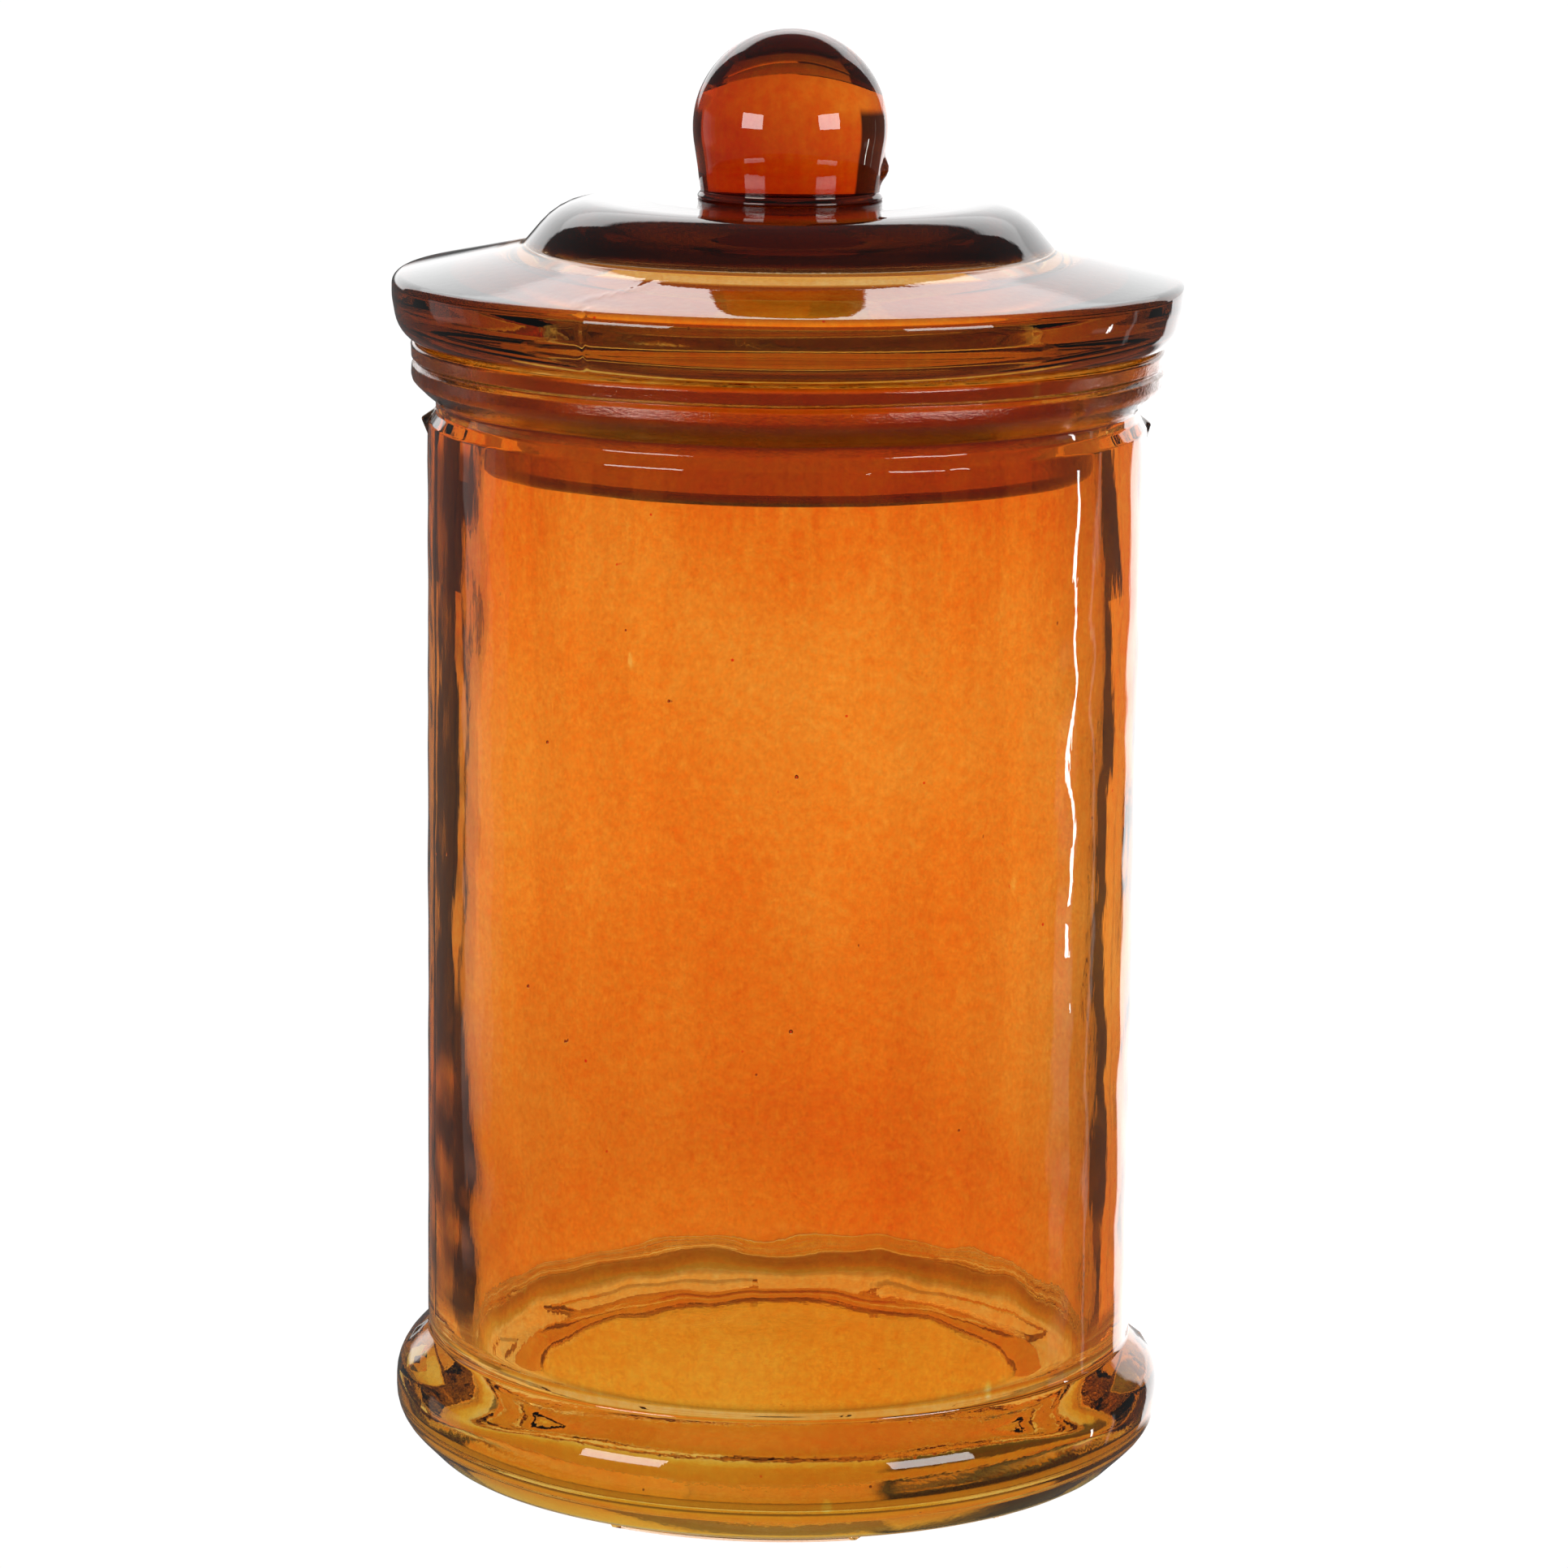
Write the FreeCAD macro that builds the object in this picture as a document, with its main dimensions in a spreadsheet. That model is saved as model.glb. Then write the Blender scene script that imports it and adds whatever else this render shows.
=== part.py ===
import FreeCAD, Part
import math
import os

import Sketcher

# Apothecary jar of amber-coated glass: a straight vessel with a heavy foot, a lid whose hollow plug drops
# into the mouth, and a solid ball knob fused on top of the lid. Millimetres, +Z up. The origin is on the
# axis, in the plane of the bearing pads that the jar stands on.

SIZES = {
    # Foot of the vessel. The pads are bosses on a flat ring under it, each spanning an angle in degrees.
    "pad_drop": 1.2,
    "pad_inner_radius": 37.0,
    "pad_outer_radius": 41.0,
    "pad_span": 45.6,
    "pad_turn": -97.7,
    "pad_count": 5,
    "punt_rise": 2.0,
    "punt_radius": 35.0,
    "punt_flat_radius": 22.0,
    "foot_radius": 49.4,
    "foot_underside_radius": 44.2,
    "foot_lower_bend": 6.4,
    "foot_upper_bend": 12.6,
    "foot_top": 16.8,
    # Wall and floor of the vessel.
    "body_radius": 45.2,
    "wall_thickness": 5.1,
    "floor_height": 14.8,
    "floor_dip": 0.5,
    "shoulder_height": 134.4,
    "neck_depth": 0.9,
    "neck_height": 2.6,
    # Finish bead round the mouth, two lobes with a fine groove between them.
    "bead_radius": 47.5,
    "bead_lower_bend": 139.6,
    "bead_groove_height": 142.0,
    "bead_groove_depth": 0.6,
    "bead_groove_half": 0.5,
    "mouth_height": 144.5,
    "mouth_radius": 39.8,
    "mouth_depth": 16.0,
    # Lid: flange, plug and dome.
    "flange_radius": 50.0,
    "flange_foot_radius": 49.0,
    "flange_bend_height": 150.0,
    "flange_edge_height": 152.7,
    "plug_radius": 39.2,
    "plug_taper": 0.5,
    "plug_depth": 15.4,
    "plug_wall": 4.4,
    "dome_foot_radius": 33.6,
    "dome_foot_height": 156.2,
    "dome_shoulder_radius": 28.6,
    "dome_shoulder_height": 162.2,
    "seat_radius": 11.8,
    "seat_height": 163.5,
    "hollow_shoulder_radius": 26.0,
    "hollow_shoulder_height": 149.5,
    "lid_thickness": 6.9,
    # Knob: a ball on a short waist that flares a little where it meets the dome.
    "ball_radius": 12.35,
    "ball_top": 20.0,
    "waist_radius": 11.25,
    "waist_height": 1.8,
    "knob_foot_radius": 11.5,
    "knob_foot_height": 0.9,
    "knob_seat_radius": 10.4,
    # Roundings of the glass.
    "round_fine": 0.3,
    "round_small": 0.8,
    "round_edge": 1.5,
    "round_corner": 4.0,
    "round_foot": 6.0,
    "round_dome": 9.0,
    "round_punt": 30.0,
}


def make_sheet(doc):
    """The spreadsheet that every sketch is bound to, one named cell for each driving size."""
    sheet = doc.addObject("Spreadsheet::Sheet", "Sizes")
    for row, (name, value) in enumerate(SIZES.items(), start=1):
        sheet.set(f"A{row}", name)
        sheet.set(f"B{row}", str(value))
        sheet.setAlias(f"B{row}", name)
    doc.recompute()
    return sheet


def amount(sheet, total):
    """The number that a sum of cell names stands for."""
    result, sign = 0.0, 1.0
    for word in total.split():
        if word in ("+", "-"):
            sign = 1.0 if word == "+" else -1.0
        else:
            result += sign * sheet.get(word)
    return result


def bound(total):
    """The same sum as an expression that reads the sheet."""
    return " ".join(word if word in ("+", "-") else f"Sizes.{word}" for word in total.split())


def origin_feature(body, role):
    """One of the body's own origin planes or axes."""
    return next(item for item in body.Origin.OriginFeatures if item.Role == role)


def new_body(doc, name):
    """An empty body for one piece of the jar."""
    body = doc.addObject("PartDesign::Body", name)
    body.Label = name
    body.Placement = FreeCAD.Placement()
    return body


def new_section(body, name):
    """A sketch in the upright plane through the axis: across is the radius, up is the height."""
    sketch = body.newObject("Sketcher::SketchObject", name)
    sketch.AttachmentSupport = [(origin_feature(body, "XZ_Plane"), "")]
    sketch.MapMode = "FlatFace"
    return sketch


def drive(sketch, total, *constraint):
    """Adds a constraint whose value follows the sheet."""
    index = sketch.addConstraint(Sketcher.Constraint(*constraint))
    sketch.setExpression(f"Constraints[{index}]", bound(total))


def pin(sheet, sketch, geometry, vertex, across, up):
    """Ties a sketch point to its radius and height; an empty sum puts it on that axis."""
    if across:
        drive(sketch, across, "DistanceX", -1, 1, geometry, vertex, amount(sheet, across))
    else:
        sketch.addConstraint(Sketcher.Constraint("PointOnObject", geometry, vertex, -2))
    if up:
        drive(sketch, up, "DistanceY", -1, 1, geometry, vertex, amount(sheet, up))
    else:
        sketch.addConstraint(Sketcher.Constraint("PointOnObject", geometry, vertex, -1))


def corner_arc(before, corner, after, radius):
    """The tangent arc that rounds a corner, its two ends in path order, and whether it turns left."""
    back = (before - corner).normalize()
    ahead = (after - corner).normalize()
    half = back.getAngle(ahead) / 2
    centre = corner + (back + ahead).normalize() * (radius / math.sin(half))
    ends = [corner + way * (radius / math.tan(half)) for way in (back, ahead)]
    left = (corner - before).cross(after - corner).z > 0
    first, last = ends if left else reversed(ends)
    angles = [math.atan2(end.y - centre.y, end.x - centre.x) for end in (first, last)]
    if angles[1] < angles[0]:
        angles[1] += 2 * math.pi
    circle = Part.Circle(centre, FreeCAD.Vector(0, 0, 1), radius)
    return Part.ArcOfCircle(circle, *angles), ends, left


def round_corner(sheet, sketch, runs, arc, left, corner):
    """Adds the arc between two runs and ties it to both; the sharp corner stays as a guide point."""
    across, up, radius = corner
    bend = sketch.addGeometry(arc)
    first, last = (1, 2) if left else (2, 1)
    sketch.addConstraint(Sketcher.Constraint("Tangent", runs[0], 2, bend, first))
    sketch.addConstraint(Sketcher.Constraint("Tangent", bend, last, runs[1], 1))
    drive(sketch, radius, "Radius", bend, amount(sheet, radius))
    place = FreeCAD.Vector(amount(sheet, across), amount(sheet, up), 0)
    guide = sketch.addGeometry(Part.Point(place), True)
    for run in runs:
        sketch.addConstraint(Sketcher.Constraint("PointOnObject", guide, 1, run))
    pin(sheet, sketch, guide, 1, across, up)


def draw_outline(sheet, sketch, corners):
    """A closed outline of straight runs; a corner with a radius is rounded by a tangent arc."""
    count = len(corners)
    points = [FreeCAD.Vector(amount(sheet, across), amount(sheet, up), 0) for across, up, _ in corners]
    arcs, arrive, leave = {}, list(points), list(points)
    for i, (_, _, radius) in enumerate(corners):
        if radius:
            neighbours = points[i - 1], points[i], points[(i + 1) % count]
            arc, (arrive[i], leave[i]), left = corner_arc(*neighbours, amount(sheet, radius))
            arcs[i] = arc, left
    runs = [
        sketch.addGeometry(Part.LineSegment(leave[i], arrive[(i + 1) % count]))
        for i in range(count)
    ]
    for i, corner in enumerate(corners):
        pair = runs[i - 1], runs[i]
        if i in arcs:
            round_corner(sheet, sketch, pair, *arcs[i], corner)
        else:
            sketch.addConstraint(Sketcher.Constraint("Coincident", pair[0], 2, pair[1], 1))
            pin(sheet, sketch, runs[i], 1, *corner[:2])


def revolve(body, sketch, name):
    """Turns a section all the way round the axis."""
    turned = body.newObject("PartDesign::Revolution", name)
    turned.Profile = sketch
    turned.ReferenceAxis = (sketch, ["V_Axis"])
    turned.Angle = 360
    return turned


def make_jar_body(doc, sheet):
    """The vessel: foot, straight wall, neck and bead in one section, with bearing pads under the foot."""
    body = new_body(doc, "jar_body")
    section = new_section(body, "JarSection")
    cavity = "body_radius - wall_thickness"
    neck = "body_radius - neck_depth"
    neck_foot = "shoulder_height + neck_depth"
    neck_top = "shoulder_height + neck_height"
    punt = "pad_drop + punt_rise"
    groove = "bead_groove_height"
    draw_outline(sheet, section, [
        ("", punt, ""),
        ("punt_flat_radius", punt, "round_punt"),
        ("punt_radius", "pad_drop", "round_edge"),
        ("foot_underside_radius", "pad_drop", "round_corner"),
        ("foot_radius", "foot_lower_bend", "round_foot"),
        ("foot_radius", "foot_upper_bend", "round_foot"),
        ("body_radius", "foot_top", "round_small"),
        ("body_radius", "shoulder_height", "round_fine"),
        (neck, neck_foot, "round_fine"),
        (neck, neck_top, "round_small"),
        ("bead_radius", "bead_lower_bend", "round_edge"),
        ("bead_radius", f"{groove} - bead_groove_half", "round_fine"),
        ("bead_radius - bead_groove_depth", groove, ""),
        ("bead_radius", f"{groove} + bead_groove_half", "round_fine"),
        ("bead_radius", "mouth_height", "round_small"),
        ("mouth_radius", "mouth_height", "round_small"),
        ("mouth_radius", "mouth_height - mouth_depth", "round_small"),
        (cavity, "mouth_height - mouth_depth - round_edge", "round_small"),
        (cavity, "floor_height", "round_corner"),
        ("", "floor_height - floor_dip", ""),
    ])
    revolve(body, section, "Vessel")
    doc.recompute()
    bare = body.Shape.Volume
    add_pads(body, sheet)
    doc.recompute()
    if body.Shape.Volume <= bare:
        raise RuntimeError("the bearing pads added no glass")
    return body


def add_pads(body, sheet):
    """One bearing pad swept through its span, repeated evenly round the foot."""
    section = new_section(body, "PadSection")
    turn = FreeCAD.Rotation(FreeCAD.Vector(0, 1, 0), sheet.get("pad_turn"))
    section.AttachmentOffset = FreeCAD.Placement(FreeCAD.Vector(), turn)
    section.setExpression(".AttachmentOffset.Rotation.Angle", "Sizes.pad_turn * 1 deg")
    root = "pad_drop + round_fine"
    draw_outline(sheet, section, [
        ("pad_inner_radius", "", "round_fine"),
        ("pad_outer_radius", "", "round_fine"),
        ("pad_outer_radius", root, ""),
        ("pad_inner_radius", root, ""),
    ])
    pad = revolve(body, section, "Pad")
    pad.Midplane = True
    pad.setExpression("Angle", "Sizes.pad_span * 1 deg")
    ring = body.newObject("PartDesign::PolarPattern", "PadRing")
    ring.Originals = [pad]
    ring.Axis = (origin_feature(body, "Z_Axis"), [""])
    ring.Angle = 360
    ring.setExpression("Occurrences", "Sizes.pad_count")
    body.Tip = ring


def make_lid(doc, sheet):
    """The lid: a wide flange, a raised dome and a hollow plug that hangs into the mouth."""
    body = new_body(doc, "lid")
    section = new_section(body, "LidSection")
    ceiling = "seat_height - lid_thickness"
    plug_foot = "mouth_height - plug_depth"
    bore = "plug_radius - plug_taper - plug_wall"
    draw_outline(sheet, section, [
        ("", ceiling, ""),
        ("hollow_shoulder_radius", ceiling, "round_foot"),
        (bore, "hollow_shoulder_height", "round_corner"),
        (bore, plug_foot, "round_edge"),
        ("plug_radius - plug_taper", plug_foot, "round_edge"),
        ("plug_radius", "mouth_height", "round_fine"),
        ("flange_foot_radius", "mouth_height", "round_corner"),
        ("flange_radius", "flange_bend_height", "round_foot"),
        ("flange_radius", "flange_edge_height", "round_edge"),
        ("dome_foot_radius", "dome_foot_height", "round_edge"),
        ("dome_shoulder_radius", "dome_shoulder_height", "round_dome"),
        ("seat_radius", "seat_height", ""),
        ("", "seat_height", ""),
    ])
    revolve(body, section, "Lid")
    return body


def make_lid_knob(doc, sheet):
    """The knob: a glass ball whose underside runs straight down to a waist and a small flared foot."""
    body = new_body(doc, "lid_knob")
    section = new_section(body, "KnobSection")
    foot = [
        ("", "seat_height"),
        ("knob_seat_radius", "seat_height"),
        ("knob_foot_radius", "seat_height + knob_foot_height"),
        ("waist_radius", "seat_height + waist_height"),
    ]
    top = "seat_height + ball_top"
    radius = sheet.get("ball_radius")
    centre = FreeCAD.Vector(0, amount(sheet, top) - radius, 0)
    points = [FreeCAD.Vector(amount(sheet, across), amount(sheet, up), 0) for across, up in foot]
    span = points[-1] - centre
    slope = math.atan2(span.y, span.x) + math.acos(radius / span.Length)
    touch = centre + FreeCAD.Vector(math.cos(slope), math.sin(slope), 0) * radius
    apex = centre + FreeCAD.Vector(0, radius, 0)
    path = [*points, touch]
    runs = [section.addGeometry(Part.LineSegment(*ends)) for ends in zip(path, path[1:])]
    axis = FreeCAD.Vector(0, 0, 1)
    ball = section.addGeometry(Part.ArcOfCircle(Part.Circle(centre, axis, radius), slope, math.pi / 2))
    spine = section.addGeometry(Part.LineSegment(apex, points[0]))
    for before, after in zip(runs, runs[1:]):
        section.addConstraint(Sketcher.Constraint("Coincident", before, 2, after, 1))
    section.addConstraint(Sketcher.Constraint("Tangent", runs[-1], 2, ball, 1))
    section.addConstraint(Sketcher.Constraint("Coincident", ball, 2, spine, 1))
    section.addConstraint(Sketcher.Constraint("Coincident", spine, 2, runs[0], 1))
    for run, (across, up) in zip(runs, foot):
        pin(sheet, section, run, 1, across, up)
    section.addConstraint(Sketcher.Constraint("PointOnObject", ball, 3, -2))
    drive(section, "ball_radius", "Radius", ball, radius)
    pin(sheet, section, ball, 2, "", top)
    revolve(body, section, "Knob")
    return body


def check(doc, pieces):
    """Stops the build if any object failed or any piece is not one valid solid."""
    for item in doc.Objects:
        if {"Invalid", "Error"} & set(item.State):
            raise RuntimeError(f"{item.Name} failed: {item.State}")
    for piece in pieces:
        shape = piece.Shape
        if shape.isNull() or not shape.isValid() or len(shape.Solids) != 1:
            raise RuntimeError(f"{piece.Label} is not one valid solid")


def main():
    doc = FreeCAD.newDocument("ApothecaryJar")
    sheet = make_sheet(doc)
    pieces = [make(doc, sheet) for make in (make_jar_body, make_lid, make_lid_knob)]
    doc.recompute()
    check(doc, pieces)
    os.makedirs("parts", exist_ok=True)
    for piece in pieces:
        piece.Shape.exportStep(f"parts/{piece.Label}.step")
        box = piece.Shape.BoundBox
        size = f"{box.XLength:.2f} x {box.YLength:.2f} x {box.ZLength:.2f}"
        print(f"{piece.Label}: {size} mm from z {box.ZMin:.2f}, {piece.Shape.Volume / 1000:.1f} cm3")


main()
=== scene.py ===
import math

import bmesh
import bpy
from mathutils import Euler, Matrix, Vector, noise


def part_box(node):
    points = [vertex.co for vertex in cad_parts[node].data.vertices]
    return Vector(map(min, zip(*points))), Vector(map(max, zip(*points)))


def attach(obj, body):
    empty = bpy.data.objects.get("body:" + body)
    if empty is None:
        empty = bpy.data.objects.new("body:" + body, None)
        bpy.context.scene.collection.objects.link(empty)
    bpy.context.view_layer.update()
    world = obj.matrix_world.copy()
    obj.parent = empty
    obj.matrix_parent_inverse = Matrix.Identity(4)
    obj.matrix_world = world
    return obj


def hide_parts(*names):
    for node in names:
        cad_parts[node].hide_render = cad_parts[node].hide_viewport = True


# Apothecary jar of clear pressed glass with an amber lacquer sprayed on its outside. Each piece is a
# section turned round the axis, with the unevenness of pressed glass, and stands for one CAD node.
# Lengths of the jar are millimetres until a vertex is placed, lengths of the studio are metres, and angles
# are degrees measured from the back of the jar (+Y) towards the right (+X).

MM = 0.001

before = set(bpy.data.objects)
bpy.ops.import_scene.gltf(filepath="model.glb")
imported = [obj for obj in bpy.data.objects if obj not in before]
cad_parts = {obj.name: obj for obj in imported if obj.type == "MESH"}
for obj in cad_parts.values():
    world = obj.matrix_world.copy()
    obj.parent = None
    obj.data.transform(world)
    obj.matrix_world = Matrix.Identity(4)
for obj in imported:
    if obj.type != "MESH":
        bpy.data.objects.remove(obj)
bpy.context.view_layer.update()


def top_of(node):
    """The height of a CAD node's highest point in millimetres."""
    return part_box(node)[1].z / MM


def radius_of(node):
    """The largest radius of a CAD node in millimetres."""
    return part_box(node)[1].x / MM


# Driving sizes: these are read from the frame, and those below are given.
FOOT_RADIUS = radius_of("jar_body")
MOUTH_HEIGHT = top_of("jar_body")
FLANGE_RADIUS = radius_of("lid")
SEAT_HEIGHT = top_of("lid")
PLUG_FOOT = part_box("lid")[0].z / MM
BALL_RADIUS = radius_of("lid_knob")
BALL_TOP = top_of("lid_knob")

# The vessel: foot and wall, then neck and bead, then mouth and inside.
FOOT_UNDERSIDE_RADIUS = 44.2
FOOT_LOWER_BEND = 6.4
FOOT_UPPER_BEND = 12.6
FOOT_TOP = 16.8
BODY_RADIUS = 45.2
SHOULDER_HEIGHT = 134.4
SHOULDER_CHAMFER = 1.2
NECK_RADIUS = 44.3
NECK_RISE = 2.6
BEAD_RADIUS = 47.5
BEAD_BEND = 139.6
BEAD_GROOVE = 142.0
GROOVE_DEPTH = 0.6
GROOVE_HALF = 0.5
MOUTH_RADIUS = 39.8
MOUTH_DEPTH = 16.0
TAPER_DEPTH = 30.0
CAVITY_RADIUS = 40.1
FLOOR_HEIGHT = 14.8
FLOOR_DIP = 0.5

# The punt and the bearing pads under the foot.
PUNT_FLAT_RADIUS = 30.5
PUNT_RADIUS = 35.0
PUNT_RISE = 2.0
PAD_DROP = 1.2
PAD_RADII = (37.0, 41.0)
PAD_SIDE = 0.2
PAD_SPAN = 45.6
PAD_COUNT = 5
PAD_AZIMUTH = 187.7

# The lid: plug, hollow, flange and dome.
PLUG_RADIUS = 39.2
PLUG_TAPER = 0.5
PLUG_WALL = 4.4
HOLLOW_CEILING = SEAT_HEIGHT - 6.9
HOLLOW_SHOULDER = (26.0, 149.5)
FLANGE_FOOT_RADIUS = FLANGE_RADIUS - 1.0
FLANGE_BEND = 150.0
FLANGE_EDGE = 152.7
FLANGE_TOP_RADIUS = 34.0
DOME_FOOT = (33.6, 156.2)
DOME_SHOULDER_RADIUS = 28.6
CROWN_HEIGHT = SEAT_HEIGHT - 1.2
JOINT_RADIUS = 10.4

# The knob's flared foot and waist.
KNOB_FOOT_RADIUS = 11.6
KNOB_WAIST_RADIUS = 11.2

# Roundings.
FINE = 0.3
SMALL = 0.8
EDGE = 1.5
CORNER = 4.0
LARGE = 6.0
DOME_ROUND = 9.0

# Parting lines of the two moulds: the vessel's run up its sides, the lid's cross the flange.
BODY_SEAMS = (269.0, 89.0)
LID_SEAMS = (209.6, 29.6)

# Mesh fineness: steps round the axis, degrees between points on a rounding, the longest step along each
# section, and the angle from which an edge is sharp.
TURNS = 360
ARC_STEP = 9.0
OUTSIDE_SPAN = 1.7
INSIDE_SPAN = 4.2
LID_SPAN = 1.2
KNOB_SPAN = 0.7
BALL_STEPS = 60
SHARP = math.radians(50)


# ---------------------------------------------------------------- shader helpers


class Shader:
    """A material or world node tree with short ways to add nodes."""

    def __init__(self, tree):
        self.tree = tree
        self.nodes = tree.nodes
        self.nodes.clear()

    def node(self, kind, **settings):
        """A new node with its settings."""
        made = self.nodes.new(kind)
        for name, value in settings.items():
            setattr(made, name, value)
        return made

    def feed(self, socket, value):
        """Links an output to an input, or sets the input to a plain value."""
        if isinstance(value, bpy.types.NodeSocket):
            self.tree.links.new(value, socket)
        else:
            socket.default_value = value

    def math(self, operation, *values):
        """One step of arithmetic on outputs or numbers."""
        made = self.node("ShaderNodeMath", operation=operation)
        for socket, value in zip(made.inputs, values):
            self.feed(socket, value)
        return made.outputs[0]

    def ramp(self, value, low, high, start=0.0, end=1.0):
        """The value mapped smoothly from low..high to start..end."""
        made = self.node("ShaderNodeMapRange", interpolation_type="SMOOTHSTEP")
        for socket, item in zip(made.inputs, (value, low, high, start, end)):
            self.feed(socket, item)
        return made.outputs[0]

    def band(self, value, low, high, soft):
        """1 inside low..high and 0 outside, with soft edges."""
        rise = self.ramp(value, low - soft, low + soft)
        fall = self.ramp(value, high - soft, high + soft, 1.0, 0.0)
        return self.math("MULTIPLY", rise, fall)

    def noise(self, vector, scale, detail=2.0, roughness=0.5):
        """Cloudy noise between 0 and 1."""
        made = self.node("ShaderNodeTexNoise")
        self.feed(made.inputs["Vector"], vector)
        for name, value in (("Scale", scale), ("Detail", detail), ("Roughness", roughness)):
            self.feed(made.inputs[name], value)
        return made.outputs["Fac"]

    def scaled(self, vector, *factors):
        """The vector stretched by a factor along each axis."""
        made = self.node("ShaderNodeVectorMath", operation="MULTIPLY")
        self.feed(made.inputs[0], vector)
        made.inputs[1].default_value = factors
        return made.outputs[0]


# ---------------------------------------------------------------- studio

JAR_MIDDLE = Vector((0, 0, 0.1))
LAMP_DISTANCE = 1.2

# The lamps: name, azimuth, elevation, width and height, and radiance.
LAMPS = (
    ("softbox_left", 226, 12, (0.55, 0.34), 9.0),
    ("softbox_right", 134, 12, (0.55, 0.34), 9.0),
    ("strip_right", 76, -9.7, (0.03, 0.17), 14.0),
)

# How bright the room is where nothing else is set: mirrored on the glass, guided inside one wall, or
# scattered by several.
ROOM_MIRRORED = 0.12
ROOM_GUIDED = 0.05
ROOM_SCATTERED = 0.95

# How much of the light the black flags take away.
FLAG_DEPTH = 0.93
SIDE_FLAG_DEPTH = 0.80

# How far the edges of flags, gaps and panels blur, in azimuth and in elevation.
PATCH_BLUR = (1.2, 2.5)

# The floor: its size, how far it lies under the jar's pads, and its glow.
FLOOR_SIZE = 6.0
FLOOR_DROP = 0.0005
FLOOR_GLOW = 1.02

# Pale panels that mirror in the glass: (from, to) azimuth, (from, to) elevation and brightness.
PANELS = (
    ((-3, 36), (-20, 4), 2.4),
    ((-32, 40), (2, 24), 1.8),
    ((-32, 40), (20, 38), 2.4),
    ((-66, -54), (-15, 6), 0.50),
    ((-73, -54), (-15, 6), 0.38),
    ((-80, -54), (-15, 6), 0.22),
    ((-88, -54), (-15, 6), 0.10),
    ((61.5, 63), (-20, 2), 0.9),
    ((72, 82), (-15.5, -11), 0.6),
)

# Gaps between black flags: only through these does light reach the edges of the glass, to be guided inside.
GAPS = (
    ((-47, -38), (-12.5, -9.5), 1.0),
    ((-22, -12), (-12.5, -9.5), 1.0),
    ((-10, 9), (-19, 6), 1.0),
    ((8, 40), (-19, 6), 1.1),
    ((-92, -81), (-36, -16), 1.0),
    ((-65, -54), (-36, -16), 1.0),
    ((-37, -12), (-36, -16), 1.0),
    ((-137, -126), (-14, 6), 1.0),
    ((-110, -99), (-14, 6), 1.0),
    ((-82, -57), (-14, 6), 1.0),
    ((88, 99), (-26, 2), 1.0),
    ((115, 126), (-26, 2), 1.0),
    ((143, 168), (-26, 2), 1.0),
    ((-180, 180), (-85, -40), 0.8),
    ((-180, 180), (-40, -17), 0.45),
    ((-180, 180), (7, 32), 0.75),
    ((-180, 180), (32, 85), 0.6),
)

# The white sweep, straight through the glass, dims towards the ceiling and the floor: from which elevation,
# to which, and the share of light at each.
SWEEP = (
    (4.0, 15.0, 1.08, 0.40),
    (18.0, 45.0, 1.0, 0.12),
    (-50.0, -17.0, 0.5, 1.0),
)

# The black flag on the left, which keeps light that wanders in the glass from leaving that edge bright.
SIDE_FLAG = (((-50, -10), (-17, 4), 1.0),)

# Black flags that cut off the sweep at its sides, as seen straight through the glass.
FLAGS = (
    ((-72, -34), (-12, 35), 1.0),
    ((56, 100), (-12, 35), 1.0),
)


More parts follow.
